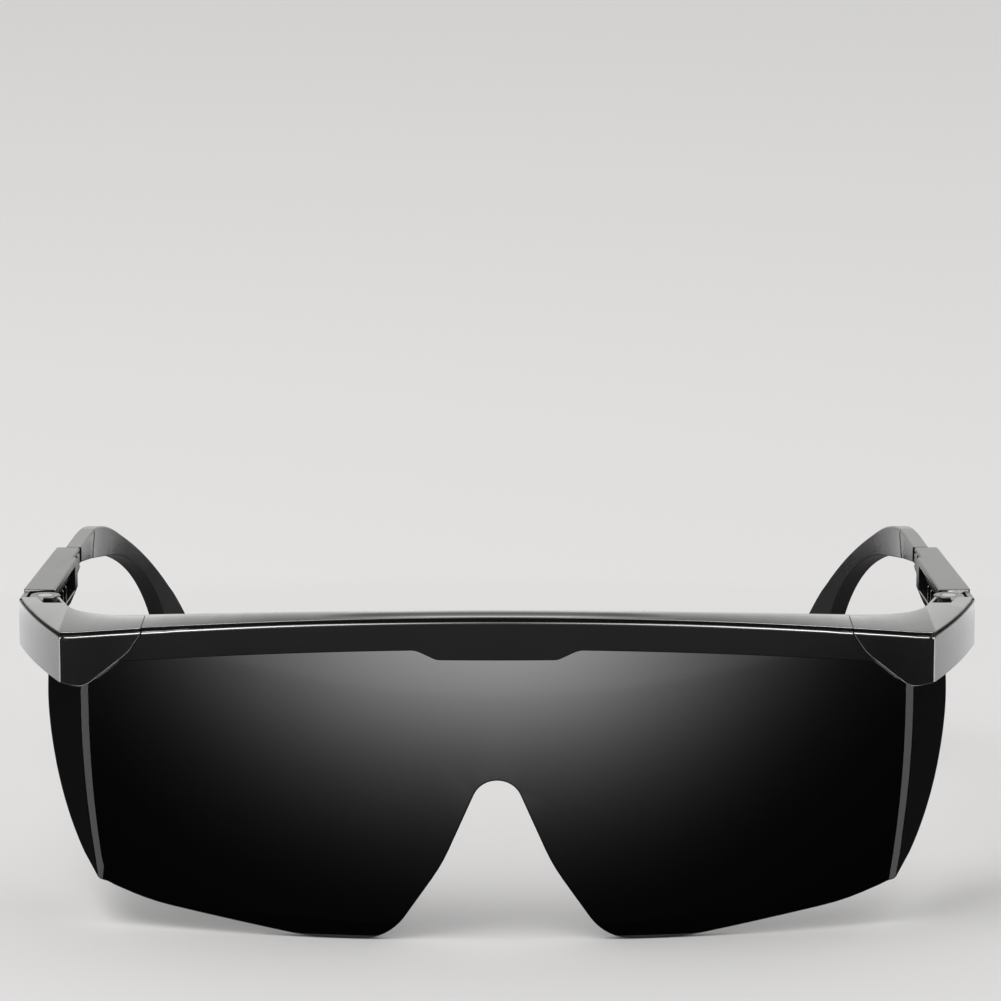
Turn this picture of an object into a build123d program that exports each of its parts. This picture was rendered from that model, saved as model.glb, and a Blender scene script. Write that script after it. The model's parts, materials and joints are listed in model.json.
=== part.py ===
from build123d import *
from math import acos, asin, atan2, cos, radians, sin, sqrt, tan
import os

# Wrap-around eclipse glasses, lengths in millimetres.
# X runs to the wearer's left as seen from the front, so image right is +X.
# Y runs back from the front of the brow bar, and Z runs up from the table.
# The finished part is moved so that its box is centred on X and Y.

# Driving sizes of the whole
overall_height = 54.0
overrun = 20.0

# Brow line, seen from the front: a wide arch that levels out over the temples
arch_radius = 496.0
arch_half_width = 68.0
arch_blend_radius = 50.0

# Brow line, seen from above
bow_radius = 200.0
shelf_depth = 6.8
shelf_back_radius = 128.0
seam_x = 58.1
seam_gap = 0.1

# Walls of the bar and the caps
top_wall = 1.6
front_wall = 1.6
fit = 0.1

# Front lip: a fine step below the top edge
lip_height = 0.55
lip_setback = 0.6

# Brow bar
bar_height = 5.3
tab_drop = 1.73
tab_top_half_width = 13.2
tab_bottom_half_width = 9.8
tab_top_radius = 4.0
tab_bottom_radius = 2.6
tab_shoulder = 1.5
rib_wall = 1.3
rib_height = 4.4
tongue_length = 7.0
tongue_root = 4.0
tongue_thickness = 1.5
bar_end_reach = 8.0

# Lens
lens_thickness = 2.0
lens_setback = front_wall + fit
bend_top_x = 67.1
bend_straight_z = 38.0
bend_curve_radius = 185.0
facet_width = 1.82
facet_foot_share = 0.7
shield_splay = 14.3
notch_top = 26.7
notch_half_width = 2.75
notch_radius = 4.1
notch_waist_x = 9.0
notch_waist_z = 12.6
notch_waist_radius = 30.0
lobe_inner_x = 17.8
lobe_inner_radius = 9.0
lobe_outer_x = 30.0
lobe_outer_radius = 50.0
sweep_x = 57.0
sweep_z = 4.7
sweep_radius = 40.0
shield_bottom_z = 7.4
shield_bottom_y = 24.0
shield_bottom_rise = 1.8
shield_bottom_slope = 14.0
shield_heel_y = 33.9
shield_heel_share = 0.32
shield_turn_y = 41.9
shield_turn_share = 0.492
shield_back_y = 45.5
shield_back_share = 0.74
shield_top_y = 43.4
shield_top_slope = 103.0
shield_tab_y = 31.5
shield_tab_gap = 0.3
lens_levels = 4

# Corner caps
cap_corner_x = 71.9
cap_rear_x = 81.0
cap_rear_y = 45.3
cap_side_radius = 219.0
cap_inner_rear_x = 74.0
cap_inner_turn_x = 71.9
cap_inner_turn_y = 36.6
cap_inner_radius = 28.7
cap_height = 8.2
cap_inner_wall = 1.0
cap_edge_top_rise = 8.96
cap_edge_knee_x = 60.2
cap_edge_knee_rise = 5.76
cap_edge_knee_radius = 6.0
cap_edge_foot_x = 67.9
cap_edge_foot_drop = 0.7
cap_edge_foot_radius = 4.0
cap_edge_heel_radius = 8.0
side_lip_setback = 0.45
side_lip_undercut = 0.3
side_lip_rear_share = 0.4
notch_front_y = 40.2
notch_wall = 0.6
notch_outer_x = 76.4
notch_rear_x = 77.9

# Hinge
pin_x = 76.8
pin_y = 48.6
pin_radius = 0.75
pin_head_radius = 1.3
pin_head_height = 0.5
pin_play = 0.05
knuckle_radius = 2.6
knuckle_gap = 0.25
knuckle_height = 2.4
lug_height = 1.7
lug_drop = 0.25
neck_half_width = 1.7

# Temple sleeve, in its own frame: s runs back from the pin, w runs outwards
toe_in = 3.0
sleeve_height = 6.4
sleeve_front_s = 3.6
sleeve_rear_s = 43.8
sleeve_inner_rear_s = 34.0
sleeve_outer_front_w = 4.14
sleeve_outer_rear_w = 3.7
sleeve_inner_w = -1.2
sleeve_roof = 0.55
cheek_front_s = -2.9
cheek_inner_w = 3.05
cheek_outer_w = 4.02
cheek_drop = 0.35
sleeve_end_wall = 3.2
slide_gap = 0.12
window_end_land = 3.5
window_lip = 0.45
pocket_floor = 1.3
pocket_outer_wall = 1.3
rib_pitch = 4.0
rib_width = 0.9
heel_start_s = 24.0
heel_mid_s = 33.0
heel_mid_rise = 1.0
heel_end_rise = 3.0

# Temple arm
rail_thickness = 2.6
rail_height = 2.3
rail_outer_w = 2.2
rail_reach = 33.0
root_thickness = 2.8
rack_pitch = 2.0
rack_depth = 0.35
rack_tooth = 1.0
shoulder_gap = 0.3
root_height = 2.7
hook_thickness = 2.9
hook_taper = 0.6
thick_start_y = 107.0
thick_step_slant = 3.0
straight_end_y = 104.0
plan_radius = 90.0
plan_end_angle = 20.0
crest_y = 111.0
crest_radius = 34.0
crest_end_angle = 24.0
back_radius = 90.0
belly_y = 121.4
belly_drop = 6.7
belly_start_angle = 8.0
belly_radius = 32.0
tip_height = 8.0
tip_flat_length = 5.2
tip_heel_setback = 4.2
tip_heel_rise = 3.2
tip_toe_radius = 2.5
tip_heel_radius = 3.2
tip_back_radius = 3.0


def bow_y(x, setback=0.0):
    """Y of the bowed front line, or of a line concentric behind it, at a half width."""
    radius = bow_radius - setback
    return bow_radius - sqrt(radius**2 - x**2)


def shelf_back_y(x):
    """Y of the rear edge of the top shelf at a half width."""
    return shelf_depth + shelf_back_radius - sqrt(shelf_back_radius**2 - x**2)


def bulged_arc(start, end, radius, side):
    """Arc between two points; side +1 bulges to the left of the way from start to end."""
    sx, sy = start
    ex, ey = end
    chord = sqrt((ex - sx) ** 2 + (ey - sy) ** 2)
    rise = radius - sqrt(radius**2 - (chord / 2) ** 2)
    mid_x = (sx + ex) / 2 - side * rise * (ey - sy) / chord
    mid_y = (sy + ey) / 2 + side * rise * (ex - sx) / chord
    return ThreePointArc(start, (mid_x, mid_y), end)


def plan_block(edges):
    """Upright block over a closed outline drawn in plan."""
    face = make_face(Curve() + edges)
    return Pos(0, 0, -overrun) * extrude(face, overall_height + 2 * overrun)


def front_block(edges):
    """Block running from front to back over a closed outline of X and Z."""
    face = Plane.XZ * make_face(Curve() + edges)
    block = extrude(face, 2 * plan_reach, both=True)
    return block


def side_block(edges):
    """Block running across the glasses over a closed outline of Y and Z."""
    face = Plane.YZ * make_face(Curve() + edges)
    return extrude(face, 2 * plan_reach, both=True)


# Heights and widths that follow from the brow line
plan_reach = cap_rear_x + overrun
arch_end_angle = asin(arch_half_width / arch_radius)
arch_end_z = overall_height - arch_radius * (1 - cos(arch_end_angle))
level_x = arch_half_width + arch_blend_radius * sin(arch_end_angle)
side_top = arch_end_z - arch_blend_radius * (1 - cos(arch_end_angle))
blend_mid_x = level_x - arch_blend_radius * sin(arch_end_angle / 2)
blend_mid_z = side_top + arch_blend_radius * (1 - cos(arch_end_angle / 2))


def under_arch(drop):
    """Everything below the brow line lowered by a drop."""
    top = overall_height - drop
    end_z = arch_end_z - drop
    mid_z = blend_mid_z - drop
    level_z = side_top - drop
    edges = [
        ThreePointArc((-arch_half_width, end_z), (0, top), (arch_half_width, end_z)),
        ThreePointArc((arch_half_width, end_z), (blend_mid_x, mid_z), (level_x, level_z)),
        Line((level_x, level_z), (plan_reach, level_z)),
        Line((plan_reach, level_z), (plan_reach, -overrun)),
        Line((plan_reach, -overrun), (-plan_reach, -overrun)),
        Line((-plan_reach, -overrun), (-plan_reach, level_z)),
        Line((-plan_reach, level_z), (-level_x, level_z)),
        ThreePointArc((-level_x, level_z), (-blend_mid_x, mid_z), (-arch_half_width, end_z)),
    ]
    return front_block(edges)


def bow_band(half_width, near, far):
    """Upright band between two lines concentric with the bowed front line."""
    front = (0, near)
    back = (0, far)
    front_end = (half_width, bow_y(half_width, near))
    back_end = (half_width, bow_y(half_width, far))
    edges = [
        ThreePointArc((-half_width, front_end[1]), front, front_end),
        Line(front_end, back_end),
        ThreePointArc(back_end, back, (-half_width, back_end[1])),
        Line((-half_width, back_end[1]), (-half_width, front_end[1])),
    ]
    return plan_block(edges)


# Lower front edge of the corner cap, where it laps over the end of the bar
cap_bottom = side_top - cap_height


def cap_front_region(gap=0.0):
    """Front view of the right cap: all that lies outside its sloping lower edge."""
    low = cap_bottom - gap
    edge = FilletPolyline(
        (seam_x - gap, cap_bottom + cap_edge_top_rise),
        (cap_edge_knee_x - gap, cap_bottom + cap_edge_knee_rise),
        (cap_edge_foot_x, low - cap_edge_foot_drop),
        (cap_corner_x, low),
        (plan_reach, low),
        radius=[cap_edge_knee_radius, cap_edge_foot_radius, cap_edge_heel_radius],
    )
    rim = [
        Line((plan_reach, low), (plan_reach, overall_height + overrun)),
        Line((plan_reach, overall_height + overrun), (seam_x - gap, overall_height + overrun)),
        Line((seam_x - gap, overall_height + overrun), (seam_x - gap, cap_bottom + cap_edge_top_rise)),
    ]
    return front_block([edge] + rim)


def lip_step(half_width):
    """Room taken off the very top of the front, which leaves the fine step of the lip."""
    band = bow_band(half_width, -overrun, lip_setback)
    return band - under_arch(lip_height)


def end_tongue():
    """Tongue at the right end of the bar that plugs into the cap under its roof."""
    front_set = lens_setback + lens_thickness + fit
    x0 = seam_x - tongue_root
    x1 = seam_x + tongue_length
    back_set = top_wall + fit
    edges = [
        ThreePointArc(
            (x0, bow_y(x0, front_set)),
            ((x0 + x1) / 2, bow_y((x0 + x1) / 2, front_set)),
            (x1, bow_y(x1, front_set)),
        ),
        Line((x1, bow_y(x1, front_set)), (x1, shelf_back_y(x1) - back_set)),
        Line((x1, shelf_back_y(x1) - back_set), (x0, shelf_back_y(x0) - back_set)),
        Line((x0, shelf_back_y(x0) - back_set), (x0, bow_y(x0, front_set))),
    ]
    body = plan_block(edges)
    tongue = (body & under_arch(top_wall + fit)) - under_arch(top_wall + fit + tongue_thickness)
    root = bow_band(seam_x - seam_gap, front_set, shelf_depth + overrun) & body
    return tongue + (root & under_arch(top_wall / 2)) - under_arch(top_wall + fit + tongue_thickness)


def brow_bar():
    half = seam_x + bar_end_reach
    shelf_end = (half, shelf_back_y(half))
    outline = [
        ThreePointArc((-half, bow_y(half)), (0, 0), (half, bow_y(half))),
        Line((half, bow_y(half)), shelf_end),
        ThreePointArc(shelf_end, (0, shelf_depth), (-half, shelf_end[1])),
        Line((-half, shelf_end[1]), (-half, bow_y(half))),
    ]
    block = plan_block(outline) & under_arch(0)
    wall = bow_band(half, 0, front_wall)
    rib_near = lens_setback + lens_thickness + fit
    rib = bow_band(seam_x - seam_gap, rib_near, rib_near + rib_wall)
    tab_low = overall_height - bar_height - tab_drop
    arch_drop = arch_radius - sqrt(arch_radius**2 - tab_top_half_width**2)
    tab_high = overall_height - bar_height - arch_drop
    tab_reach = tab_top_half_width + tab_shoulder
    tab_foot = FilletPolyline(
        (-tab_reach, tab_high),
        (-tab_top_half_width, tab_high),
        (-tab_bottom_half_width, tab_low),
        (tab_bottom_half_width, tab_low),
        (tab_top_half_width, tab_high),
        (tab_reach, tab_high),
        radius=[tab_top_radius, tab_bottom_radius, tab_bottom_radius, tab_top_radius],
    )
    tab_rim = Polyline(
        (tab_reach, tab_high),
        (tab_reach, overall_height),
        (-tab_reach, overall_height),
        (-tab_reach, tab_high),
    )
    skin = block - under_arch(top_wall)
    face = (block & wall) - (under_arch(bar_height) - front_block([tab_foot, tab_rim]))
    back_rib = (block & rib) - under_arch(rib_height)
    bar = skin + face + back_rib - lip_step(half)
    for side in (1, -1):
        cap_room = cap_front_region(seam_gap)
        tongue = end_tongue()
        bar -= cap_room if side == 1 else mirror(cap_room, about=Plane.YZ)
        bar += tongue if side == 1 else mirror(tongue, about=Plane.YZ)
    return bar


def cap_outline(front_set, side_set, inner_set, rear_set, start_x):
    """Plan of the right cap, each wall drawn in by its own amount."""
    corner = (cap_corner_x - side_set, bow_y(cap_corner_x - side_set, front_set))
    rear_outer = (cap_rear_x - side_set, cap_rear_y - rear_set)
    rear_inner = (cap_inner_rear_x + inner_set, cap_rear_y - rear_set)
    turn = (cap_inner_turn_x + inner_set, cap_inner_turn_y - inner_set / 2)
    back = (seam_x, shelf_back_y(seam_x) - inner_set)
    start = (start_x, bow_y(start_x, front_set))
    start_back = (start_x, shelf_back_y(start_x) - inner_set)
    mid_x = (start_x + corner[0]) / 2
    edges = [
        ThreePointArc(start, (mid_x, bow_y(mid_x, front_set)), corner),
        bulged_arc(corner, rear_outer, cap_side_radius, -1),
        Line(rear_outer, rear_inner),
        Line(rear_inner, turn),
        bulged_arc(turn, back, cap_inner_radius + inner_set, 1),
    ]
    if start_x < seam_x:
        edges.append(Line(back, start_back))
    return edges + [Line(start_back, start)]


def side_lip_step():
    """Room taken off the top of the cap's side, undercut a little, which leaves its fine step."""
    sections = []
    corner_y = bow_y(cap_corner_x)
    heights = (side_top - lip_height, side_top + lip_height)
    setbacks = (side_lip_setback + side_lip_undercut, side_lip_setback - side_lip_undercut)
    for z, setback in zip(heights, setbacks):
        corner = (cap_corner_x - setback, corner_y)
        ahead = (corner[0] - lip_setback * 2, corner_y - overrun / 2)
        rear = (cap_rear_x - setback * side_lip_rear_share, cap_rear_y + lip_setback)
        edges = [
            Line(ahead, corner),
            bulged_arc(corner, rear, cap_side_radius, -1),
            Line(rear, (plan_reach, rear[1])),
            Line((plan_reach, rear[1]), (plan_reach, ahead[1])),
            Line((plan_reach, ahead[1]), ahead),
        ]
        sections.append(Pos(0, 0, z) * make_face(Curve() + edges))
    return loft(sections, ruled=True)


def hinge_disc(low, high, radius):
    return Pos(pin_x, pin_y, low) * extrude(Circle(radius), high - low)


# Levels of the hinge, from its upper lug down
upper_lug_top = side_top - lug_drop
upper_lug_low = upper_lug_top - lug_height
knuckle_top = upper_lug_low - knuckle_gap
knuckle_low = knuckle_top - knuckle_height
lower_lug_top = knuckle_low - knuckle_gap
lower_lug_low = lower_lug_top - lug_height


def hinge_lug(low, high):
    """Fixed lug: a disc round the pin and a foot on the rear wall of the cap."""
    foot_edges = Polyline(
        (pin_x, pin_y),
        (pin_x, cap_rear_y - front_wall),
        (cap_rear_x - front_wall, cap_rear_y - front_wall),
        (cap_rear_x - front_wall, cap_rear_y),
        (pin_x + knuckle_radius, pin_y),
        close=True,
    )
    foot = plan_block([foot_edges]) & Pos(0, 0, low) * extrude(
        Rectangle(2 * plan_reach, 2 * plan_reach), high - low
    )
    return hinge_disc(low, high, knuckle_radius) + foot


def corner_cap():
    shell = plan_block(cap_outline(0, 0, 0, 0, seam_x)) & under_arch(0)
    room_edges = cap_outline(front_wall, front_wall, cap_inner_wall, front_wall, seam_x - overrun / 2)
    room = plan_block(room_edges) & under_arch(top_wall)
    shell = (shell - room - lip_step(cap_corner_x) - side_lip_step()) & cap_front_region()
    rear_share = (notch_front_y - cap_inner_turn_y) / (cap_rear_y - cap_inner_turn_y)
    notch_inner_x = cap_inner_turn_x + rear_share * (cap_inner_rear_x - cap_inner_turn_x) + notch_wall
    notch = Polyline(
        (notch_inner_x, notch_front_y),
        (notch_outer_x, notch_front_y),
        (notch_rear_x, cap_rear_y),
        (notch_rear_x, cap_rear_y + overrun),
        (cap_inner_rear_x + notch_wall, cap_rear_y + overrun),
        (cap_inner_rear_x + notch_wall, cap_rear_y),
        close=True,
    )
    cap = shell - plan_block([notch])
    cap += hinge_lug(upper_lug_low, upper_lug_top)
    cap += hinge_lug(lower_lug_low, lower_lug_top)
    cap -= hinge_disc(lower_lug_low - overrun, upper_lug_top + overrun, pin_radius)
    cap -= hinge_disc(upper_lug_top - pin_head_height, upper_lug_top + overrun, pin_head_radius)
    return cap


def hinge_pin():
    head = hinge_disc(upper_lug_top - pin_head_height, upper_lug_top, pin_head_radius)
    return hinge_disc(lower_lug_low, upper_lug_top, pin_radius) + head


def bend_x(z):
    """Half width at the bend: upright above, curving in towards the foot."""
    below = max(bend_straight_z - z, 0)
    return bend_top_x - below**2 / (2 * bend_curve_radius)


def lens_plan(z):
    """Plan outline of the wrap-around sheet at one height, with a flat at each bend."""
    bend = bend_x(z)
    below = max(bend_straight_z - z, 0) / bend_straight_z
    flat = facet_width * (1 - (1 - facet_foot_share) * below**2)
    splay = radians(shield_splay)
    far = cap_rear_y + overrun
    near_y = bow_y(bend, lens_setback)
    facet_turn = radians((90 - shield_splay) / 2 + shield_splay)
    facet = (bend + flat * sin(facet_turn), near_y + flat * cos(facet_turn))
    out_end = (facet[0] + (far - facet[1]) * tan(splay), far)
    in_step = lens_thickness / cos(splay)
    in_end = (out_end[0] - in_step, far)
    # The inner corner lies where the inner faces of the front panel and the shield meet
    slope = tan(splay)
    in_x = bend - lens_thickness / 2
    for _ in range(20):
        in_x = facet[0] - in_step + (bow_y(in_x, lens_setback + lens_thickness) - facet[1]) * slope
    in_corner = (in_x, bow_y(in_x, lens_setback + lens_thickness))
    right = [(bend, near_y), facet, out_end, in_end, in_corner]
    left = [(-x, y) for x, y in reversed(right)]
    edges = [ThreePointArc(left[-1], (0, lens_setback), right[0])]
    edges += [Line(a, b) for a, b in zip(right, right[1:])]
    edges += [ThreePointArc(right[-1], (0, lens_setback + lens_thickness), left[0])]
    edges += [Line(a, b) for a, b in zip(left, left[1:])]
    return Pos(0, 0, z) * make_face(Curve() + edges)


def lens():
    bend_foot_x = bend_x(shield_bottom_z)
    levels = [bend_straight_z * step / lens_levels for step in range(-1, lens_levels + 1)]
    curved = loft([lens_plan(z) for z in levels])
    upright = extrude(lens_plan(bend_straight_z), overall_height + overrun - bend_straight_z)
    sheet = curved + upright
    half = FilletPolyline(
        (0, notch_top),
        (notch_half_width, notch_top),
        (notch_waist_x, notch_waist_z),
        (lobe_inner_x, 0),
        (lobe_outer_x, 0),
        (sweep_x, sweep_z),
        (bend_foot_x, shield_bottom_z),
        radius=[notch_radius, notch_waist_radius, lobe_inner_radius, lobe_outer_radius, sweep_radius],
    )
    rim = Polyline(
        (bend_foot_x, shield_bottom_z),
        (plan_reach, shield_bottom_z),
        (plan_reach, overall_height + overrun),
        (0, overall_height + overrun),
        (0, notch_top),
    )
    right_face = front_block([half, rim])
    face = right_face + mirror(right_face, about=Plane.YZ)
    foot_y = bow_y(bend_foot_x, lens_setback)
    # Side view: bottom edge, rounded rear edge up to the cap, and the tab inside the cap
    bottom = Polyline(
        (-overrun, shield_bottom_z - overrun),
        (foot_y, shield_bottom_z - overrun),
        (foot_y, shield_bottom_z),
        (shield_bottom_y, shield_bottom_z + shield_bottom_rise),
    )
    start_turn = radians(shield_bottom_slope)
    end_turn = radians(shield_top_slope)
    rear = Spline(
        (shield_bottom_y, shield_bottom_z + shield_bottom_rise),
        (shield_heel_y, cap_bottom * shield_heel_share),
        (shield_turn_y, cap_bottom * shield_turn_share),
        (shield_back_y, cap_bottom * shield_back_share),
        (shield_top_y, cap_bottom - shield_tab_gap),
        tangents=[(cos(start_turn), sin(start_turn)), (cos(end_turn), sin(end_turn))],
    )
    side_rim = Polyline(
        (shield_top_y, cap_bottom - shield_tab_gap),
        (shield_tab_y, cap_bottom - shield_tab_gap),
        (shield_tab_y, overall_height + overrun),
        (-overrun, overall_height + overrun),
        (-overrun, shield_bottom_z - overrun),
    )
    return sheet & face & side_block([bottom, rear, side_rim]) & under_arch(top_wall + fit)


# Frame of the right temple: its origin is the pin, and its Y leans in by the toe-in
temple_frame = Pos(pin_x, pin_y, 0) * Rot(0, 0, toe_in)
sleeve_low = side_top - sleeve_height


def temple_box(s0, s1, w0, w1, z0, z1):
    """Box in the frame of the right temple."""
    box = Pos((w0 + w1) / 2, (s0 + s1) / 2, (z0 + z1) / 2) * Box(w1 - w0, s1 - s0, z1 - z0)
    return temple_frame * box


rail_inner_w = rail_outer_w - rail_thickness
rail_top = side_top - sleeve_roof - slide_gap
rail_low = rail_top - rail_height


def temple_sleeve():
    outline = Polyline(
        (sleeve_inner_w, sleeve_front_s),
        (sleeve_outer_front_w, sleeve_front_s),
        (sleeve_outer_rear_w, sleeve_rear_s),
        (rail_inner_w, sleeve_rear_s),
        (rail_inner_w, sleeve_inner_rear_s),
        (sleeve_inner_w, sleeve_inner_rear_s),
        close=True,
    )
    body = temple_frame * Pos(0, 0, sleeve_low) * extrude(make_face(outline), sleeve_height)
    heel_edges = Polyline(
        (heel_start_s, sleeve_low),
        (heel_mid_s, sleeve_low + heel_mid_rise),
        (sleeve_rear_s, sleeve_low + heel_end_rise),
        (sleeve_rear_s + overrun, sleeve_low + heel_end_rise),
        (sleeve_rear_s + overrun, sleeve_low - overrun),
        (heel_start_s, sleeve_low - overrun),
        close=True,
    )
    body -= temple_frame * extrude(Plane.YZ * make_face(heel_edges), plan_reach, both=True)
    channel = temple_box(
        sleeve_front_s + sleeve_end_wall,
        sleeve_rear_s + overrun,
        rail_inner_w - slide_gap,
        rail_outer_w + slide_gap,
        rail_low - slide_gap,
        rail_top + slide_gap,
    )
    window_s0 = sleeve_front_s + window_end_land
    window_s1 = sleeve_inner_rear_s - window_end_land
    window = temple_box(
        window_s0,
        window_s1,
        sleeve_inner_w - overrun,
        rail_inner_w,
        rail_low - slide_gap,
        rail_top - window_lip,
    )
    pocket = temple_box(
        window_s0,
        window_s1,
        sleeve_inner_w - overrun,
        sleeve_outer_rear_w - pocket_outer_wall,
        sleeve_low + pocket_floor,
        rail_low - slide_gap,
    )
    body = body - channel - window - pocket
    rib_count = int((window_s1 - window_s0) / rib_pitch)
    for step in range(1, rib_count):
        rib_s = window_s0 + step * rib_pitch
        body += temple_box(
            rib_s,
            rib_s + rib_width,
            rail_inner_w - slide_gap,
            sleeve_outer_rear_w - pocket_outer_wall,
            sleeve_low + pocket_floor,
            rail_low - slide_gap,
        )
    neck = temple_box(0, sleeve_front_s, -neck_half_width, neck_half_width, knuckle_low, knuckle_top)
    knuckle = hinge_disc(knuckle_low, knuckle_top, knuckle_radius) + neck
    cheek = temple_box(
        cheek_front_s,
        sleeve_front_s + sleeve_end_wall,
        cheek_inner_w,
        cheek_outer_w,
        sleeve_low,
        side_top - cheek_drop,
    )
    body += knuckle + cheek
    return body - hinge_disc(knuckle_low - overrun, knuckle_top + overrun, pin_radius + pin_play)


def arm_band(outer_w, thickness, s0):
    """Upright band along the arm: straight in line with the sleeve, then bent in behind the ear."""
    lean = radians(toe_in)

    def at(s, w):
        return (pin_x + w * cos(lean) - s * sin(lean), pin_y + s * cos(lean) + w * sin(lean))

    s_bend = (straight_end_y - pin_y) / cos(lean)
    rear_run = overall_height + overrun
    edges = []
    ends = []
    faces = (
        (outer_w, plan_radius, radians(plan_end_angle + hook_taper)),
        (outer_w - thickness, plan_radius - thickness, radians(plan_end_angle)),
    )
    for w, radius, end in faces:
        start = at(s0, w)
        knee = at(s_bend, w)
        centre = (knee[0] - radius * cos(lean), knee[1] - radius * sin(lean))
        middle = (lean + end) / 2
        half_way = (centre[0] + radius * cos(middle), centre[1] + radius * sin(middle))
        turn = (centre[0] + radius * cos(end), centre[1] + radius * sin(end))
        finish = (turn[0] - rear_run * sin(end), turn[1] + rear_run * cos(end))
        edges += [Line(start, knee), ThreePointArc(knee, half_way, turn), Line(turn, finish)]
        ends.append((start, finish))
    edges.append(Line(ends[0][0], ends[1][0]))
    edges.append(Line(ends[0][1], ends[1][1]))
    return plan_block(edges)


def arm_side():
    """Side view of the arm behind the sleeve: level root, ear hook and rounded tip."""
    root_y = pin_y + (sleeve_rear_s + shoulder_gap) * cos(radians(toe_in))
    # Upper edge: level, then round the crest, then down the back to the tip
    crest = radians(crest_end_angle)
    c0 = (crest_y, side_top)
    c1 = (crest_y + crest_radius * sin(crest), side_top - crest_radius * (1 - cos(crest)))
    half = crest / 2
    c_mid = (crest_y + crest_radius * sin(half), side_top - crest_radius * (1 - cos(half)))
    back = acos(cos(crest) - (c1[1] - tip_height) / back_radius)
    b1 = (c1[0] + back_radius * (sin(back) - sin(crest)), tip_height)
    half = (crest + back) / 2
    b_mid = (
        c1[0] + back_radius * (sin(half) - sin(crest)),
        c1[1] - back_radius * (cos(crest) - cos(half)),
    )
    # Tip: a short flat on the table
    back_corner = (b1[0] + (b1[1] - tip_heel_rise) / tan(back), tip_heel_rise)
    heel = (back_corner[0] - tip_heel_setback, 0)
    toe = (heel[0] - tip_flat_length, 0)
    # Lower edge: from the root into the belly arc, which the line to the toe leaves at a tangent
    belly0 = radians(belly_start_angle)
    u0 = (belly_y, side_top - belly_drop)
    centre = (u0[0] - belly_radius * sin(belly0), u0[1] - belly_radius * cos(belly0))
    reach = sqrt((toe[0] - centre[0]) ** 2 + (toe[1] - centre[1]) ** 2)
    bearing = atan2(toe[0] - centre[0], toe[1] - centre[1])
    belly1 = bearing - acos(belly_radius / reach)
    u1 = (centre[0] + belly_radius * sin(belly1), centre[1] + belly_radius * cos(belly1))
    half = (belly0 + belly1) / 2
    u_mid = (centre[0] + belly_radius * sin(half), centre[1] + belly_radius * cos(half))
    tip = FilletPolyline(
        b1, back_corner, heel, toe, u1, radius=[tip_back_radius, tip_heel_radius, tip_toe_radius]
    )
    root_low = side_top - root_height
    edges = [
        Line((root_y, side_top), c0),
        ThreePointArc(c0, c_mid, c1),
        ThreePointArc(c1, b_mid, b1),
        tip,
        ThreePointArc(u1, u_mid, u0),
        Line(u0, (root_y, root_low)),
        Line((root_y, root_low), (root_y, side_top)),
    ]
    return side_block(edges)


def temple_arm():
    root_s = sleeve_rear_s + shoulder_gap
    thin = arm_band(rail_outer_w, root_thickness, root_s)
    thick = arm_band(rail_outer_w, hook_thickness, root_s)
    step_edges = Polyline(
        (thick_start_y + thick_step_slant, side_top),
        (thick_start_y, side_top - sleeve_height),
        (thick_start_y, -overrun),
        (straight_end_y + plan_reach, -overrun),
        (straight_end_y + plan_reach, side_top),
        close=True,
    )
    thick &= side_block([step_edges])
    hook = (thin + thick) & arm_side()
    rail_s0 = sleeve_rear_s - rail_reach
    rail = temple_box(rail_s0, root_s + rail_thickness, rail_inner_w, rail_outer_w, rail_low, rail_top)
    tooth_count = int((rail_reach - rack_pitch) / rack_pitch)
    for step in range(1, tooth_count):
        gap_s = rail_s0 + step * rack_pitch
        rail -= temple_box(
            gap_s,
            gap_s + rack_pitch - rack_tooth,
            rail_inner_w - rack_depth,
            rail_inner_w + rack_depth,
            rail_low - rail_height,
            rail_top + rail_height,
        )
    return hook + rail


# The right-hand pieces are built once and mirrored for the left
pieces = {"lens": lens(), "brow_bar": brow_bar()}
paired = {
    "corner_cap": corner_cap(),
    "hinge_pin": hinge_pin(),
    "temple_sleeve": temple_sleeve(),
    "temple_arm": temple_arm(),
}
for name, shape in paired.items():
    pieces["right_" + name] = shape
    pieces["left_" + name] = mirror(shape, about=Plane.YZ)

# The origin lies on the table under the middle of the open glasses
depth_box = pieces["right_temple_arm"].bounding_box()
middle_y = depth_box.max.Y / 2
os.makedirs("parts", exist_ok=True)
for name, shape in pieces.items():
    export_step(Pos(0, -middle_y, 0) * shape, "parts/" + name + ".step")
    print(name, round(shape.volume, 1), len(shape.solids()))
print("pin at", pin_x, round(pin_y - middle_y, 4), "middle", round(middle_y, 4), "side top", side_top)
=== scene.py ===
import json
import math

import bmesh
import bpy
from mathutils import Matrix, Vector
from mathutils.bvhtree import BVHTree
from mathutils.interpolate import poly_3d_calc


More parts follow.
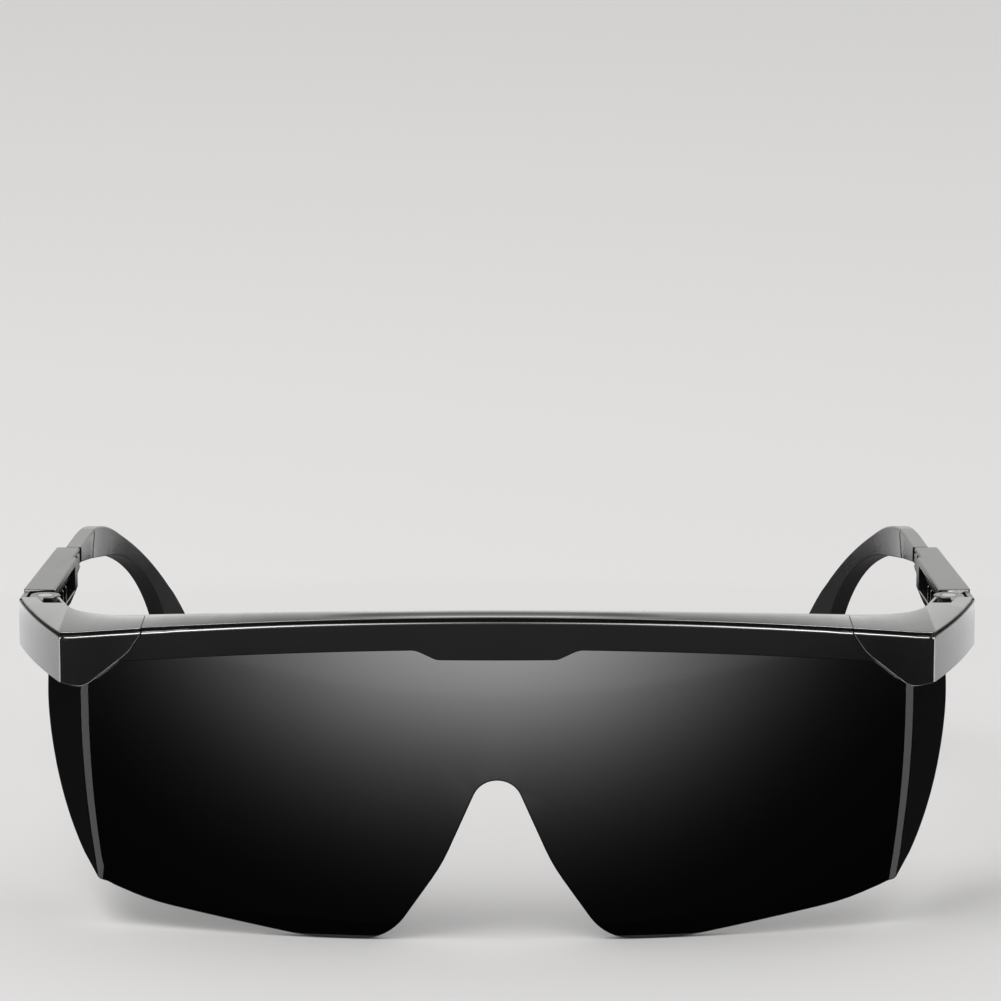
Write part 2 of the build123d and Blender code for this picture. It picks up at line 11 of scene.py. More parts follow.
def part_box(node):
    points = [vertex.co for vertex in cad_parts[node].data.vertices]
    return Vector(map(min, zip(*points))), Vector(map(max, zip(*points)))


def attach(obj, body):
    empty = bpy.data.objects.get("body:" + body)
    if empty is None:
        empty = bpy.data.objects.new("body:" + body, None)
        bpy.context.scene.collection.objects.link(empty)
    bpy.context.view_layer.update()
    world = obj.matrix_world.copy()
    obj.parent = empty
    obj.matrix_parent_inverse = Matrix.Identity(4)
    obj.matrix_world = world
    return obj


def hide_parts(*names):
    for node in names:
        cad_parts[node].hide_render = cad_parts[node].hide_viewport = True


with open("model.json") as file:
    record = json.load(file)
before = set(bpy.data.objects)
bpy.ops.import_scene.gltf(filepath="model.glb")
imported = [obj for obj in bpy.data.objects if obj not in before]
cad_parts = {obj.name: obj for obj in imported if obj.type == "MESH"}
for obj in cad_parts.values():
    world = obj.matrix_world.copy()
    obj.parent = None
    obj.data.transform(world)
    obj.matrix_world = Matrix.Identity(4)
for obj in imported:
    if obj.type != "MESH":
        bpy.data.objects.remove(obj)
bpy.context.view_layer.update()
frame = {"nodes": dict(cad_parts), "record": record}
bpy.ops.object.select_all(action="DESELECT")

# Camera: a long lens about nine tenths of a metre off, eleven degrees above the level,
# aimed so that the middle of the brow bar's top front edge falls where the photograph has it.
photo_width = 1001
brow_px = (497.0, 618.0)
focal_px = 5580.0
sensor_mm = 36.0
view_depth = 50.0
camera_distance = 0.9
camera_slope = math.radians(11.0)
bar_low, bar_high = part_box("brow_bar")
front_y = bar_low.y
brow = Vector((0, front_y, bar_high.z))
to_brow = Vector((0, math.cos(camera_slope), -math.sin(camera_slope)))
bpy.ops.object.camera_add(location=brow - to_brow * camera_distance)
camera = bpy.context.object
camera.name = "photo_camera"
camera.data.sensor_width = sensor_mm
camera.data.lens = sensor_mm * focal_px / photo_width
camera.data.clip_end = view_depth
lift = math.atan((brow_px[1] - photo_width / 2) / focal_px)
swing = math.atan((photo_width / 2 - brow_px[0]) / focal_px)
camera.rotation_euler = (math.pi / 2 - camera_slope + lift, 0, -swing)
bpy.context.scene.camera = camera
bpy.context.scene.view_settings.view_transform = "Standard"

# Table: a plain pale sheet of paper, far wider than the view. Like all the lights and cards
# below, it belongs to the studio and not to the object.
table_width = 12.0
paper_colour = (0.80, 0.79, 0.785, 1)
paper_roughness = 0.9
paper_shine = 0.1
bpy.ops.mesh.primitive_plane_add(size=table_width)
table = bpy.context.object
table.name = "pale_table"
paper = bpy.data.materials.new("pale_paper")
paper.use_nodes = True
sheet = paper.node_tree.nodes["Principled BSDF"]
sheet.inputs["Base Color"].default_value = paper_colour
sheet.inputs["Roughness"].default_value = paper_roughness
sheet.inputs["Specular IOR Level"].default_value = paper_shine
table.data.materials.append(paper)

# Studio: an even white room, a little brighter to the camera and in reflections than as a
# light, and one large soft box high on the left.
room_light = 0.75
room_white = (1, 1, 1, 1)
room_seen = (0.97, 0.975, 0.94, 1)
soft_box_place = (-0.7, -0.5, 1.5)
soft_box_width = 1.4
soft_box_depth = 1.0
soft_box_watts = 9.0
studio = bpy.data.worlds.new("white_studio")
bpy.context.scene.world = studio
studio.use_nodes = True
nodes = studio.node_tree.nodes
links = studio.node_tree.links
lit = nodes["Background"]
lit.inputs["Color"].default_value = room_white
lit.inputs["Strength"].default_value = room_light
seen = nodes.new("ShaderNodeBackground")
seen.inputs["Color"].default_value = room_seen
path = nodes.new("ShaderNodeLightPath")
either = nodes.new("ShaderNodeMath")
either.operation = "MAXIMUM"
swap = nodes.new("ShaderNodeMixShader")
links.new(path.outputs["Is Camera Ray"], either.inputs[0])
links.new(path.outputs["Is Glossy Ray"], either.inputs[1])
links.new(either.outputs[0], swap.inputs["Fac"])
links.new(lit.outputs["Background"], swap.inputs[1])
links.new(seen.outputs["Background"], swap.inputs[2])
links.new(swap.outputs["Shader"], nodes["World Output"].inputs["Surface"])

bpy.ops.object.light_add(type="AREA", location=soft_box_place)
soft_box = bpy.context.object
soft_box.name = "soft_box"
soft_box.data.shape = "RECTANGLE"
soft_box.data.size = soft_box_width
soft_box.data.size_y = soft_box_depth
soft_box.data.energy = soft_box_watts
soft_box.rotation_euler = (-soft_box.location).to_track_quat("-Z", "Y").to_euler()


# Reflection cards: two dark cloths on the table, and glowing cards laid flat around and over the
# glasses. Only reflections see them, as in a studio for black gloss things, and each glowing
# card serves only the pieces that are linked to it.
def reflection_card(name, from_x, to_x, nearest, farthest, height):
    """Flat card between two places across and two distances ahead of the brow bar."""
    bpy.ops.mesh.primitive_plane_add(size=1)
    card = bpy.context.object
    card.name = name
    middle = Vector(((from_x + to_x) / 2, front_y - (nearest + farthest) / 2))
    span = Vector((to_x - from_x, farthest - nearest))
    for v in card.data.vertices:
        v.co = (middle.x + v.co.x * span.x, middle.y + v.co.y * span.y, height)
    look = bpy.data.materials.new(name)
    look.use_nodes = True
    tree = look.node_tree
    tree.nodes.remove(tree.nodes["Principled BSDF"])
    card.data.materials.append(look)
    card.visible_camera = False
    card.visible_diffuse = False
    card.visible_shadow = False
    card.visible_transmission = False
    return card, tree


def feed(tree, value, socket):
    """Gives a socket a plain number, or the value of another socket."""
    if isinstance(value, (int, float)):
        socket.default_value = value
    else:
        tree.links.new(value, socket)


def sums(tree, operation, *values):
    """One Math node on sockets or plain numbers."""
    node = tree.nodes.new("ShaderNodeMath")
    node.operation = operation
    for socket, value in zip(node.inputs, values):
        feed(tree, value, socket)
    return node.outputs[0]


def square(tree, value):
    """A value times itself."""
    return sums(tree, "MULTIPLY", value, value)


def distance(tree, first, second):
    """The length of the slope over two sides at a right angle."""
    return sums(tree, "SQRT", sums(tree, "ADD", square(tree, first), square(tree, second)))


def own_place(tree):
    """The X, Y and Z of the point itself, in metres in the shared frame."""
    where = tree.nodes.new("ShaderNodeTexCoord")
    split = tree.nodes.new("ShaderNodeSeparateXYZ")
    tree.links.new(where.outputs["Object"], split.inputs[0])
    return split.outputs


def place_from_brow(tree):
    """Distance ahead of the brow bar and distance to the side, in metres."""
    place = own_place(tree)
    return sums(tree, "SUBTRACT", front_y, place["Y"]), sums(tree, "ABSOLUTE", place["X"])


def soft_edge(tree, value, start, end):
    """1 before start, falling smoothly to 0 at end."""
    ramp = tree.nodes.new("ShaderNodeMapRange")
    ramp.interpolation_type = "SMOOTHSTEP"
    tree.links.new(value, ramp.inputs["Value"])
    ramp.inputs["From Min"].default_value = start
    ramp.inputs["From Max"].default_value = end
    ramp.inputs["To Min"].default_value = 1.0
    ramp.inputs["To Max"].default_value = 0.0
    return ramp.outputs["Result"]


def soft_start(tree, value, start, end):
    """0 before start, rising smoothly to 1 at end."""
    return sums(tree, "SUBTRACT", 1.0, soft_edge(tree, value, start, end))


def glow_and_clear(tree, strength):
    """A glow of that strength, and the clear part of a card."""
    glow = tree.nodes.new("ShaderNodeEmission")
    clear = tree.nodes.new("ShaderNodeBsdfTransparent")
    feed(tree, strength, glow.inputs["Strength"])
    return glow.outputs[0], clear.outputs[0]


def covering_glow(tree, strength, cover):
    """Ends a cloth's nodes: its own shade where cover is 1, clear where it is 0."""
    glow, clear = glow_and_clear(tree, strength)
    blend = tree.nodes.new("ShaderNodeMixShader")
    tree.links.new(cover, blend.inputs["Fac"])
    tree.links.new(clear, blend.inputs[1])
    tree.links.new(glow, blend.inputs[2])
    tree.links.new(blend.outputs[0], tree.nodes["Material Output"].inputs["Surface"])


def added_glow(card, tree, strength, seen_by):
    """Ends a card's nodes: glow on top of what lies behind it, for the linked pieces alone."""
    glow, clear = glow_and_clear(tree, strength)
    both = tree.nodes.new("ShaderNodeAddShader")
    tree.links.new(glow, both.inputs[0])
    tree.links.new(clear, both.inputs[1])
    tree.links.new(both.outputs[0], tree.nodes["Material Output"].inputs["Surface"])
    card.light_linking.receiver_collection = seen_by


# Dark cloth: a round black cloth under and about the glasses
cloth_radius = 0.31
cloth_fade = 0.02
cloth_shade = 0.011
cloth_height = 0.0006
cloth_reach = cloth_radius + cloth_fade
card, tree = reflection_card(
    "dark_cloth", -cloth_reach, cloth_reach, -cloth_reach, cloth_reach, cloth_height
)
ahead, aside = place_from_brow(tree)
cover = soft_edge(tree, distance(tree, ahead, aside), cloth_radius, cloth_reach)
covering_glow(tree, cloth_shade, cover)

# Front cloth: the dark grey strip of floor that the fronts of the bar and the caps look into
front_shade = 0.26
front_start = 0.19
front_reach = 1.5
front_half_width = 1.2
front_fade_start = 0.9
front_fade_end = 1.1
front_height = 0.0009
card, tree = reflection_card(
    "front_cloth", -front_half_width, front_half_width, front_start, front_reach, front_height
)
ahead, aside = place_from_brow(tree)
covering_glow(tree, front_shade, soft_edge(tree, aside, front_fade_start, front_fade_end))

# Bend cards: one wedge of pale card on each side, for the narrow flats at the bends of the lens
bend_x = 0.0672
bend_back = 0.0125
wedge_glow = 1.2
wedge_turn = 0.287
wedge_half = 0.22
wedge_edge = 0.34
wedge_inner_x = 0.08
wedge_outer_x = 0.36
wedge_behind = 0.06
wedge_reach = 0.16
wedge_height = 0.0012
lens_sees = bpy.data.collections.new("lens_lights")
for side in (-1, 1):
    card, tree = reflection_card(
        "bend_card", side * wedge_inner_x, side * wedge_outer_x, -wedge_behind, wedge_reach, wedge_height
    )
    ahead, aside = place_from_brow(tree)
    out = sums(tree, "SUBTRACT", aside, bend_x)
    slant = sums(tree, "DIVIDE", sums(tree, "ADD", ahead, bend_back), out)
    off_line = sums(tree, "ABSOLUTE", sums(tree, "SUBTRACT", slant, wedge_turn))
    wedge = soft_edge(tree, off_line, wedge_half, wedge_edge)
    added_glow(card, tree, sums(tree, "MULTIPLY", wedge, wedge_glow), lens_sees)

# Cap cards: bright beside and pale behind the corner of each cap, with nothing close to it
corner_x = 0.0719
corner_back = 0.0134
side_pale = 1.1
side_bright = 9.0
pale_turn = math.radians(50)
dark_turn = math.radians(-30)
lit_turn = math.radians(-18)
side_start = 0.13
side_fade = 0.04
side_inner_x = 0.075
side_outer_x = 0.6
side_behind = 0.6
side_reach = 0.42
side_height = 0.0015
caps_see = bpy.data.collections.new("cap_lights")
for side in (-1, 1):
    card, tree = reflection_card(
        "cap_card", side * side_inner_x, side * side_outer_x, -side_behind, side_reach, side_height
    )
    ahead, aside = place_from_brow(tree)
    behind = sums(tree, "SUBTRACT", sums(tree, "MULTIPLY", ahead, -1.0), corner_back)
    out = sums(tree, "SUBTRACT", aside, corner_x)
    turn = sums(tree, "ARCTAN2", behind, out)
    bright = sums(tree, "MULTIPLY", soft_edge(tree, turn, 0.0, pale_turn), side_bright - side_pale)
    level = sums(tree, "ADD", bright, side_pale)
    lit_part = soft_start(tree, turn, dark_turn, lit_turn)
    far_part = soft_start(tree, distance(tree, behind, out), side_start, side_start + side_fade)
    cover = sums(tree, "MULTIPLY", lit_part, far_part)
    added_glow(card, tree, sums(tree, "MULTIPLY", level, cover), caps_see)

# Overhead card: brighter towards its sides, it draws the light line along the ledge of the brow
over_centre = 1.7
over_rise = 52.0
over_most = 32.0
over_half_width = 0.6
over_behind = 0.06
over_reach = 0.5
over_height = 0.6
frame_sees = bpy.data.collections.new("frame_lights")
card, tree = reflection_card(
    "overhead_card", -over_half_width, over_half_width, -over_behind, over_reach, over_height
)
ahead, aside = place_from_brow(tree)
slant = sums(tree, "DIVIDE", aside, distance(tree, ahead, over_height))
level = sums(tree, "ADD", sums(tree, "MULTIPLY", slant, over_rise), over_centre)
added_glow(card, tree, sums(tree, "MINIMUM", level, over_most), frame_sees)

# Rear card: the bright horizon that the rear of the brow's top mirrors
rear_glow = 0.9
rear_start = 1.0
rear_full = 3.6
rear_half_width = 1.5
rear_near = 0.8
rear_far = 5.8
rear_height = 0.2
shelf_sees = bpy.data.collections.new("shelf_lights")
card, tree = reflection_card(
    "rear_card", -rear_half_width, rear_half_width, -rear_far, -rear_near, rear_height
)
ahead, aside = place_from_brow(tree)
horizon = soft_start(tree, sums(tree, "MULTIPLY", ahead, -1.0), rear_start, rear_full)
added_glow(card, tree, sums(tree, "MULTIPLY", horizon, rear_glow), shelf_sees)

# Near card: the floor close to the lens, which lights the slanted lower edges of the caps
near_glow = 16.0
near_start = 0.06
near_end = 0.1
near_behind = 0.04
near_reach = 0.045
near_height = 0.0018
card, tree = reflection_card("near_card", -near_end, near_end, -near_behind, near_reach, near_height)
ahead, aside = place_from_brow(tree)
level = sums(tree, "MULTIPLY", soft_edge(tree, aside, near_start, near_end), near_glow)
added_glow(card, tree, level, caps_see)

# Arm card: a faint floor that keeps the insides of the ear hooks from going black
arm_glow = 0.12
arm_half_width = 0.3
arm_behind = 0.4
arm_reach = 0.1
arm_height = 0.0024
arms_see = bpy.data.collections.new("arm_lights")
card, tree = reflection_card(
    "arm_card", -arm_half_width, arm_half_width, -arm_behind, arm_reach, arm_height
)
added_glow(card, tree, arm_glow, arms_see)

# Lamp card: the soft round light that the front panel of the lens shows below the brow, with a
# faint wide glow about it. It reaches a little further to the left.
lamp_peak = 5.3
lamp_tail = 0.32
lamp_tail_width = 2.5
lamp_ahead = 0.253
lamp_spread = 0.106
lamp_half_width = 0.0334
lamp_fan = 0.37
lamp_left_share = 0.23
lamp_card_half_width = 0.45
lamp_card_reach = 0.30
lamp_height = 0.0021
card, tree = reflection_card(
    "lamp_card", -lamp_card_half_width, lamp_card_half_width, 0.0, lamp_card_reach, lamp_height
)
ahead, aside = place_from_brow(tree)
along = sums(tree, "DIVIDE", sums(tree, "SUBTRACT", ahead, lamp_ahead), lamp_spread)
width_here = sums(tree, "ADD", sums(tree, "MULTIPLY", ahead, lamp_fan), lamp_half_width)
on_left = sums(tree, "LESS_THAN", own_place(tree)["X"], 0.0)
wider = sums(tree, "ADD", sums(tree, "MULTIPLY", on_left, lamp_left_share), 1.0)
across = sums(tree, "DIVIDE", aside, sums(tree, "MULTIPLY", width_here, wider))
glows = []
for peak, width in ((lamp_peak, 1.0), (lamp_tail, lamp_tail_width)):
    off_middle = square(tree, sums(tree, "DIVIDE", across, width))
    fall = sums(tree, "ADD", square(tree, along), off_middle)
    fade = sums(tree, "EXPONENT", sums(tree, "MULTIPLY", fall, -1.0))
    glows.append(sums(tree, "MULTIPLY", fade, peak))
added_glow(card, tree, sums(tree, "ADD", *glows), lens_sees)


# Lens: one wrap-round sheet of near-black polished polycarbonate, moulded 2 mm thick, with a
# narrow flat at each bend and its cut edges eased. It is plugged into the brow bar's groove.
def surface_wear():
    """Shader group: slow cloud, fine grain height and hairline scratches over a moulded surface."""
    cloud_scale = 45.0
    cloud_detail = 3.0
    grain_scale = 2600.0
    grain_detail = 2.0
    scratch_scale = 40.0
    scratch_detail = 4.0
    scratch_turn = (0.5, 0.35, 0.8)
    scratch_stretch = (1.0, 34.0, 34.0)
    scratch_start = 0.66
    scratch_full = 0.72
    group = bpy.data.node_groups.new("surface_wear", "ShaderNodeTree")
    put_in = group.nodes.new("NodeGroupInput")
    put_out = group.nodes.new("NodeGroupOutput")
    where = group.nodes.new("ShaderNodeTexCoord")
    stretch = group.nodes.new("ShaderNodeMapping")
    stretch.inputs["Rotation"].default_value = scratch_turn
    stretch.inputs["Scale"].default_value = scratch_stretch
    group.links.new(where.outputs["Object"], stretch.inputs["Vector"])
    for output, scale, detail, vector in (
        ("Cloud", cloud_scale, cloud_detail, where.outputs["Object"]),
        ("Grain", grain_scale, grain_detail, where.outputs["Object"]),
        ("Scratches", scratch_scale, scratch_detail, stretch.outputs["Vector"]),
    ):
        size = group.interface.new_socket(
            output + " Scale", in_out="INPUT", socket_type="NodeSocketFloat"
        )
        size.default_value = scale
        group.interface.new_socket(output, in_out="OUTPUT", socket_type="NodeSocketFloat")
        noise = group.nodes.new("ShaderNodeTexNoise")
        noise.inputs["Detail"].default_value = detail
        group.links.new(put_in.outputs[output + " Scale"], noise.inputs["Scale"])
        group.links.new(vector, noise.inputs["Vector"])
        result = noise.outputs["Fac"]
        if output == "Scratches":
            ramp = group.nodes.new("ShaderNodeMapRange")
            ramp.inputs["From Min"].default_value = scratch_start
            ramp.inputs["From Max"].default_value = scratch_full
            group.links.new(result, ramp.inputs["Value"])
            result = ramp.outputs["Result"]
        group.links.new(result, put_out.inputs[output])
    return group


wear = surface_wear()


def worn_finish(name, dark, light, smooth, rough, scratch_rough, grain_mm, ior):
    """Finish of a piece: colour and gloss drift with the cloud, scratches dull it, grain lifts it."""
    cloud_low = 0.35
    cloud_high = 0.65
    look = bpy.data.materials.new(name)
    look.use_nodes = True
    nodes = look.node_tree.nodes
    links = look.node_tree.links
    skin = nodes["Principled BSDF"]
    skin.inputs["IOR"].default_value = ior
    marks = nodes.new("ShaderNodeGroup")
    marks.node_tree = wear
    tint = nodes.new("ShaderNodeMix")
    tint.data_type = "RGBA"
    tint.inputs[6].default_value = (*dark, 1)
    tint.inputs[7].default_value = (*light, 1)
    links.new(marks.outputs["Cloud"], tint.inputs[0])
    links.new(tint.outputs[2], skin.inputs["Base Color"])
    gloss = nodes.new("ShaderNodeMapRange")
    gloss.inputs["From Min"].default_value = cloud_low
    gloss.inputs["From Max"].default_value = cloud_high
    gloss.inputs["To Min"].default_value = smooth
    gloss.inputs["To Max"].default_value = rough
    links.new(marks.outputs["Cloud"], gloss.inputs["Value"])
    dulled = nodes.new("ShaderNodeMath")
    dulled.operation = "MULTIPLY_ADD"
    dulled.inputs[1].default_value = scratch_rough
    links.new(marks.outputs["Scratches"], dulled.inputs[0])
    links.new(gloss.outputs["Result"], dulled.inputs[2])
    links.new(dulled.outputs[0], skin.inputs["Roughness"])
    lifted = nodes.new("ShaderNodeBump")
    lifted.inputs["Strength"].default_value = 1.0
    lifted.inputs["Distance"].default_value = grain_mm / 1000
    links.new(marks.outputs["Grain"], lifted.inputs["Height"])
    links.new(lifted.outputs["Normal"], skin.inputs["Normal"])
    return look


body_of_node = {
    node: body for body, members in frame["record"]["behaviour"]["bodies"].items() for node in members
}


def true_normals(piece, solid, crown=None):
    """Gives every corner the exact normal of the solid's face under it, so reflections run clean."""
    nudge = 2e-5
    shortest = 1e-9
    half_way = 0.5
    cad = solid.data
    exact = [tuple(n.vector) for n in cad.corner_normals]
    tree = BVHTree.FromPolygons([v.co for v in cad.vertices], [tuple(p.vertices) for p in cad.polygons])
    mesh = piece.data
    mesh.calc_loop_triangles()
    normals = [Vector((0, 0, 1))] * len(mesh.loops)
    for triangle in mesh.loop_triangles:
        spots = [mesh.vertices[v].co for v in triangle.vertices]
        centre = (spots[0] + spots[1] + spots[2]) / 3
        for corner, spot in zip(triangle.loops, spots):
            inward = centre - spot
            probe = spot + inward * min(half_way, nudge / max(inward.length, shortest))
            place, _, index, _ = tree.find_nearest(probe)
            face = cad.polygons[index]
            shares = poly_3d_calc([cad.vertices[v].co for v in face.vertices], place)
            normal = Vector((0, 0, 0))
            for share, k in zip(shares, face.loop_indices):
                normal += Vector(exact[k]) * share
            normal.normalize()
            normals[corner] = crown(spot, normal) if crown else normal
    mesh.normals_split_custom_set(normals)


def eased_edges(piece, rounding_mm, wider):
    """Rounds the outward edges of a moulding: most by rounding_mm, the chosen ones by their own."""
    least_angle = math.radians(28)
    widest = max([rounding_mm] + [width for _, width in wider])
    shape = bmesh.new()
    shape.from_mesh(piece.data)
    weight = shape.edges.layers.float.new("bevel_weight_edge")
    for edge in shape.edges:
        if len(edge.link_faces) != 2 or not edge.is_convex or edge.calc_face_angle(0) < least_angle:
            continue
        middle = (edge.verts[0].co + edge.verts[1].co) / 2
        way = (edge.verts[1].co - edge.verts[0].co).normalized()
        edge[weight] = rounding_mm / widest
        for chosen, width in wider:
            if chosen(middle, way, [f.normal for f in edge.link_faces]):
                edge[weight] = width / widest
    shape.to_mesh(piece.data)
    shape.free()
    rounded = piece.modifiers.new("rounded_edges", "BEVEL")
    rounded.width = widest / 1000
    rounded.segments = 1
    rounded.limit_method = "WEIGHT"
    rounded.miter_outer = "MITER_ARC"
    rounded.use_clamp_overlap = False
    bpy.ops.object.modifier_apply(modifier=rounded.name)


def dressed(node, name, slot, look, rounding_mm, wider=(), crown=None, painted_shade=None):
    """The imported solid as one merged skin, its moulded edges rounded, in its finish."""
    weld = 2e-6
    sliver = 2e-5
    flat_angle = math.radians(0.02)
    piece = bpy.data.objects.new(name, frame["nodes"][node].data.copy())
    bpy.context.scene.collection.objects.link(piece)
    bpy.ops.object.select_all(action="DESELECT")
    piece.select_set(True)
    bpy.context.view_layer.objects.active = piece
    bpy.ops.object.mode_set(mode="EDIT")
    bpy.ops.mesh.select_all(action="SELECT")
    bpy.ops.mesh.remove_doubles(threshold=weld)
    bpy.ops.mesh.dissolve_limited(angle_limit=flat_angle)
    bpy.ops.mesh.select_all(action="SELECT")
    bpy.ops.mesh.remove_doubles(threshold=sliver)
    bpy.ops.mesh.dissolve_degenerate(threshold=sliver)
    bpy.ops.object.mode_set(mode="OBJECT")
    bpy.ops.object.shade_smooth()
    eased_edges(piece, rounding_mm, wider)
    true_normals(piece, frame["nodes"][node], crown)
    # Painted shade: the faces that the mask picks lose their shine, so they stay black like shaded
    # steps.
    band = piece.data.attributes.new("painted_shade_band", "FLOAT", "FACE")
    for face in piece.data.polygons:
        band.data[face.index].value = 1.0 if painted_shade and painted_shade(face.center, face.normal) else 0.0
    piece.data.materials.clear()
    piece.data.materials.append(look)
    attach(piece, body_of_node[node])
    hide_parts(node)
    if slot == "frame_plastic":
        frame_sees.objects.link(piece)
    return piece


lens_rounding = 0.25
lens_look = worn_finish(
    "polished_dark_polycarbonate", dark=(0.0005, 0.0005, 0.0006), light=(0.0010, 0.0010, 0.0011),
    smooth=0.035, rough=0.06, scratch_rough=0.03, grain_mm=0.0008, ior=1.58,
)
lens = dressed("lens", "lens_sheet", "tinted_lens", lens_look, lens_rounding)
lens_sees.objects.link(lens)

# Brow bar: one arched moulding in satin gloss black nylon. Its fine lip and ledge run along the
# top front edge, and the lens sits in the groove behind its front wall.
bar_rounding = 0.14
ledge_rounding = 0.54
seam_rounding = 0.03
bow_radius = 0.2
seam_x = 0.0581
level_face = 0.8
lip_start = 0.0004
lip_end = 0.0008
frame_look = worn_finish(
    "satin_black_nylon", dark=(0.006, 0.0062, 0.0064), light=(0.011, 0.0112, 0.0112),
    smooth=0.13, rough=0.19, scratch_rough=0.05, grain_mm=0.004, ior=1.5,
)


def lip_painted_shade(look):
    """Paints shade into the faces that the band attribute marks: their shine is taken off, so they go
    black like a shadow line.
    """
    shine_polished = 0.5
    shine_in_painted_shade = 0.02
    nodes = look.node_tree.nodes
    links = look.node_tree.links
    band = nodes.new("ShaderNodeAttribute")
    band.attribute_name = "painted_shade_band"
    shine = nodes.new("ShaderNodeMapRange")
    shine.inputs["To Min"].default_value = shine_polished
    shine.inputs["To Max"].default_value = shine_in_painted_shade
    links.new(band.outputs["Fac"], shine.inputs["Value"])
    links.new(shine.outputs["Result"], nodes["Principled BSDF"].inputs["Specular IOR Level"])


def dipped_top(look):
    """Leans the shading forward along a shallow dip in the top of the bar, about its middle."""
    shelf_front = 0.0006
    shelf_rear = 0.0068
    dip_share = 0.5
    dip_half = 0.42
    dip_start = 0.018
    dip_end = 0.031
    dip_lean = math.sin(math.radians(20))
    tree = look.node_tree
    ahead, aside = place_from_brow(tree)
    from_centre = distance(tree, aside, sums(tree, "ADD", ahead, bow_radius))
    depth = sums(tree, "SUBTRACT", bow_radius - shelf_front, from_centre)
    share = sums(tree, "DIVIDE", depth, shelf_rear - shelf_front)
    off_dip = sums(tree, "ABSOLUTE", sums(tree, "SUBTRACT", share, dip_share))
    across_dip = soft_edge(tree, off_dip, 0.0, dip_half)
    along_dip = soft_edge(tree, aside, dip_start, dip_end)
    lean = sums(tree, "MULTIPLY", sums(tree, "MULTIPLY", across_dip, along_dip), -dip_lean)
    under = tree.nodes.new("ShaderNodeNewGeometry")
    facing = tree.nodes.new("ShaderNodeSeparateXYZ")
    tree.links.new(under.outputs["Normal"], facing.inputs[0])
    upward = sums(tree, "GREATER_THAN", facing.outputs["Z"], level_face)
    push = tree.nodes.new("ShaderNodeCombineXYZ")
    tree.links.new(sums(tree, "MULTIPLY", lean, upward), push.inputs["Y"])
    leant = tree.nodes.new("ShaderNodeVectorMath")
    leant.operation = "ADD"
    tree.links.new(under.outputs["Normal"], leant.inputs[0])
    tree.links.new(push.outputs[0], leant.inputs[1])
    tree.links.new(leant.outputs[0], tree.nodes["Bump"].inputs["Normal"])


# Painted shade: the lip walls lose their shine and go black, standing in for the shade in the step under
# the lip.
lip_painted_shade(frame_look)
dipped_top(frame_look)


def behind_front(spot):
    """How far a point lies behind the bowed front line of the bar."""
    return bow_radius - math.hypot(spot.x, spot.y - front_y - bow_radius)


def on_ledge(middle, way, faces):
    """The top front edge of the ledge below the lip, which lies on the bowed front line itself."""
    facing = 0.7
    line_width = 0.0003
    up = max(n.z for n in faces) > facing
    ahead = min(n.y for n in faces) < -facing
    return up and ahead and behind_front(middle) < line_width


def on_seam(middle, way, faces):
    """The edges where bar and cap butt together, and the slanted one below, hardly broken."""
    facing_across = 0.6
    facing_ahead = 0.7
    slant_rise = 0.3
    seam_width = 0.0005
    slant_width = 0.007
    seam_reach = 0.023
    across = max(abs(n.x) for n in faces) > facing_across and middle.y < front_y + seam_reach
    out = abs(middle.x) - seam_x
    if abs(out) < seam_width:
        return across
    slanted = min(n.y for n in faces) < -facing_ahead and abs(way.z) > slant_rise
    return across and 0 < out < slant_width and slanted


def part_way(value, start, end):
    """0 up to start, 1 from end on, and even between them."""
    return min(1, max(0, (value - start) / (end - start)))


side_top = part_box("right_temple_sleeve")[1].z


def shelf_crown(spot, normal):
    """Rolls the top of bar and caps: its front leans ahead away from the middle, its rear back."""
    front_band = 0.002
    crown_start, crown_end = 0.012, 0.03
    front_lean, middle_lean = 13.0, -3.0
    fade_start, fade_end, fade_least = 0.036, 0.068, 0.25
    rear_lean, cap_lean, hinge_lean = -4.5, -1.5, -2.5
    cap_start, cap_end = 0.06, 0.073
    hinge_start, lug_start, lug_drop = 0.036, 0.041, 0.0001
    depth = behind_front(spot)
    on_lug = spot.y > front_y + lug_start and spot.z < side_top - lug_drop
    if normal.z < level_face or depth < lip_start or on_lug:
        return normal
    out = abs(spot.x)
    if depth < front_band:
        crown = part_way(out, crown_start, crown_end)
        fade = max(fade_least, 1 - part_way(out, fade_start, fade_end))
        lean = crown * front_lean * fade + middle_lean * (1 - crown)
    elif spot.y > front_y + hinge_start:
        lean = hinge_lean
    else:
        lean = rear_lean + (cap_lean - rear_lean) * part_way(out, cap_start, cap_end)
    return Matrix.Rotation(math.radians(lean), 3, "X") @ normal


def lip_wall(centre, normal):
    """The low wall of the lip above the ledge, where shade is painted: its shine is taken off so it goes
    black like a shaded step.
    """
    facing = 0.8
    return normal.y < -facing and lip_start < behind_front(centre) < lip_end


bar = dressed(
    "brow_bar", "brow_bar_moulding", "frame_plastic", frame_look, bar_rounding,
    [(on_ledge, ledge_rounding), (on_seam, seam_rounding)], shelf_crown, lip_wall,
)
shelf_sees.objects.link(bar)

# Corner caps: hollow ends of the bar in the same nylon, plugged on over its tongues. Each
# carries the two fixed lugs of a hinge.
cap_rounding = 0.16
corner_rounding = 0.42


def on_corner(middle, way, faces):
    """The upright edge between the front and the side of a cap."""
    upright = 0.9
    inner_x = 0.0715
    rear_end = 0.015
    return abs(way.z) > upright and abs(middle.x) > inner_x and middle.y < front_y + rear_end


def on_top_seam(middle, way, faces):
    """The seam across the top, which hardly shows."""
    seam_width = 0.0003
    return abs(abs(middle.x) - seam_x) < seam_width and max(n.z for n in faces) > level_face


def cap_lip_wall(centre, normal):
    """The lip's wall along the front, and the undercut one along the side of the cap, where shade is
    painted by taking their shine off.
    """
    facing_down = 0.15
    facing_out = 0.5
    wall_height = 0.0012
    under = normal.z < -facing_down and abs(normal.x) > facing_out and centre.z > side_top - wall_height
    return under or lip_wall(centre, normal)


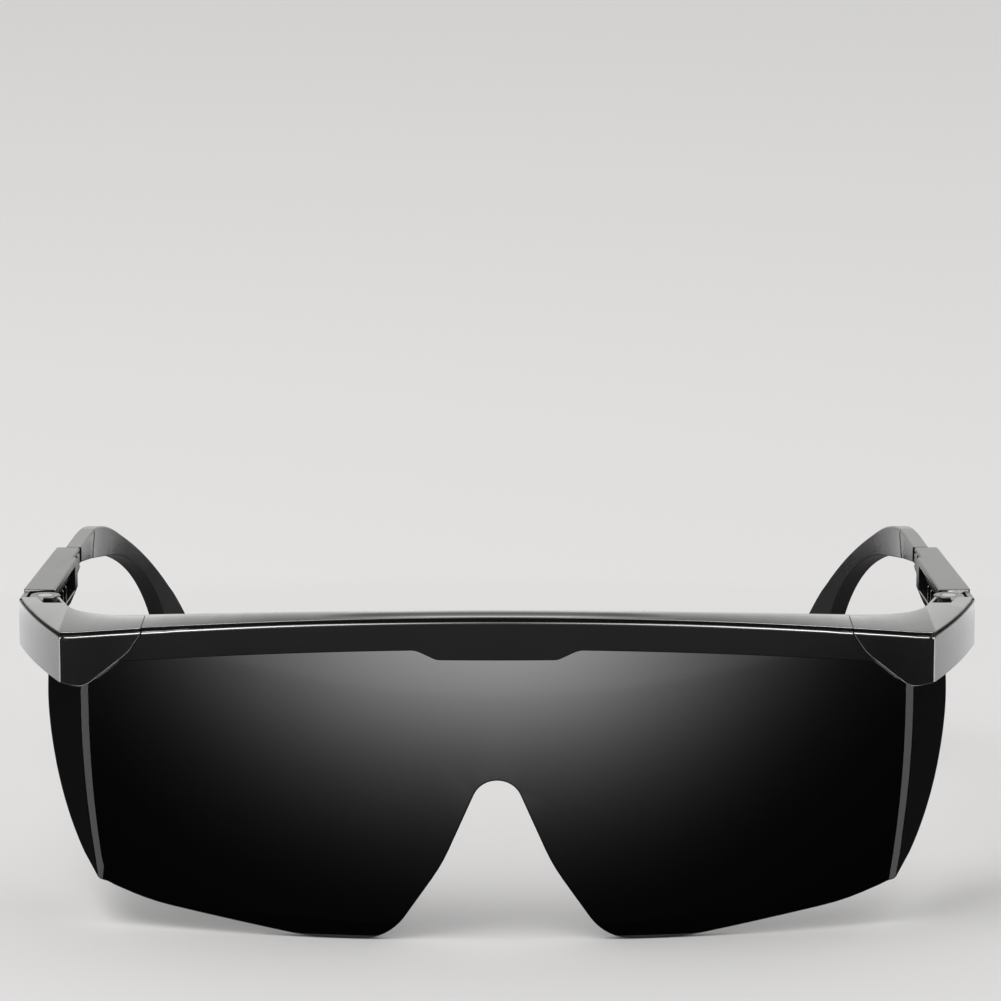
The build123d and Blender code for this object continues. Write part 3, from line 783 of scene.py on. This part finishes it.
for side in ("right", "left"):
    cap = dressed(
        side + "_corner_cap", side + "_cap_moulding", "frame_plastic", frame_look, cap_rounding,
        [(on_ledge, ledge_rounding), (on_corner, corner_rounding), (on_top_seam, seam_rounding)],
        shelf_crown, cap_lip_wall,
    )
    caps_see.objects.link(cap)
    shelf_sees.objects.link(cap)

# Hinge pins: headed steel pins, pressed down through lug, knuckle and lug, with their heads
# flush in the tops of the caps.
pin_rounding = 0.05
pin_look = worn_finish(
    "plain_pin_steel", dark=(0.42, 0.42, 0.43), light=(0.55, 0.55, 0.56),
    smooth=0.25, rough=0.38, scratch_rough=0.1, grain_mm=0.002, ior=2.5,
)
pin_look.node_tree.nodes["Principled BSDF"].inputs["Metallic"].default_value = 1.0
for side in ("right", "left"):
    dressed(side + "_hinge_pin", side + "_pin_steel", "pin_steel", pin_look, pin_rounding)

# Temple sleeves: the front halves of the temples, box channels with an inner window, ribs and
# the moving hinge knuckle, moulded in the same nylon.
sleeve_rounding = 0.12
rim_rounding = 0.3


def on_sleeve_rim(middle, way, faces):
    """The two long edges of the sleeve's roof."""
    lengthwise = 0.95
    facing = 0.9
    roof_start = 0.06
    along = abs(way.y) > lengthwise and middle.y > front_y + roof_start
    return along and max(n.z for n in faces) > facing and max(abs(n.x) for n in faces) > facing


for side in ("right", "left"):
    dressed(
        side + "_temple_sleeve", side + "_sleeve_moulding", "frame_plastic", frame_look, sleeve_rounding,
        [(on_sleeve_rim, rim_rounding)],
    )

# Temple arms: the rear halves, each a toothed rail that slides in the sleeve and a wide ear
# hook, moulded in one in the same nylon.
arm_rounding = 0.14
hook_rounding = 0.35
step_rounding = 0.02


def on_hook_edge(middle, way, faces):
    """The upper inner edge of the arm, rolled over the crest of the ear hook."""
    facing_in = 0.8
    facing_up = 0.75
    inner = min(n.x * math.copysign(1, middle.x) for n in faces) < -facing_in
    return inner and max(n.z for n in faces) > facing_up


def on_hook_step(middle, way, faces):
    """The low upright step where the hook's thicker web begins."""
    upright = 0.8
    step_start = 0.106
    step_end = 0.111
    return abs(way.z) > upright and step_start < middle.y - front_y < step_end


for side in ("right", "left"):
    arm = dressed(
        side + "_temple_arm", side + "_arm_moulding", "frame_plastic", frame_look, arm_rounding,
        [(on_hook_edge, hook_rounding), (on_hook_step, step_rounding)],
    )
    arms_see.objects.link(arm)
